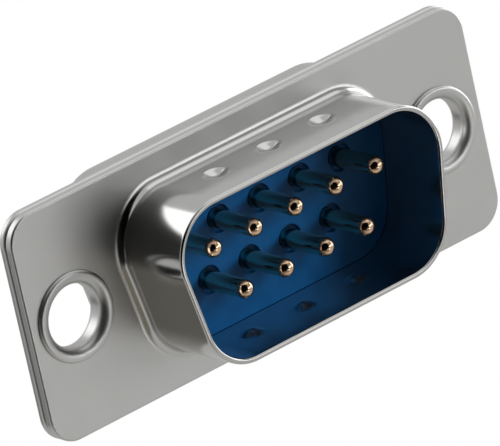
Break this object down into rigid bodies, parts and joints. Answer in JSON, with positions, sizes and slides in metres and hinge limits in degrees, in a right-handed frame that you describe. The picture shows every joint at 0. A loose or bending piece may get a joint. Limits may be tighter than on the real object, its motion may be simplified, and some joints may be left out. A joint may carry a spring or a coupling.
{
  "type": "d-sub connector",
  "caption": "D-shaped plug connector: plated steel shell on a flat flange with screw eyelets, blue insulator, gold pins in rows and scooped solder cups behind.",
  "frame": {"origin": "centre of the flange's front face, midway between the two screw holes", "axes": "+X along the flange, +Z towards the wide side of the D, which holds the longer row of pins; the mating side faces -Y and the solder cups point to +Y"},
  "size_m": [0.0308, 0.014, 0.0126],
  "materials": {
    "tin_plate": "bright tin plate over drawn steel",
    "blue_insulator": "satin moulded glass-filled PBT",
    "gold_contact": "gold flash over turned brass"
  },
  "bodies": {
    "root": {"front_shell": "tin_plate", "rear_shell": "tin_plate", "front_insulator": "blue_insulator", "rear_insulator": "blue_insulator", "eyelet_left": "tin_plate", "eyelet_right": "tin_plate", "contact_1": "gold_contact", "contact_2": "gold_contact", "contact_3": "gold_contact", "contact_4": "gold_contact", "contact_5": "gold_contact", "contact_6": "gold_contact", "contact_7": "gold_contact", "contact_8": "gold_contact", "contact_9": "gold_contact"}
  },
  "joints": []
}
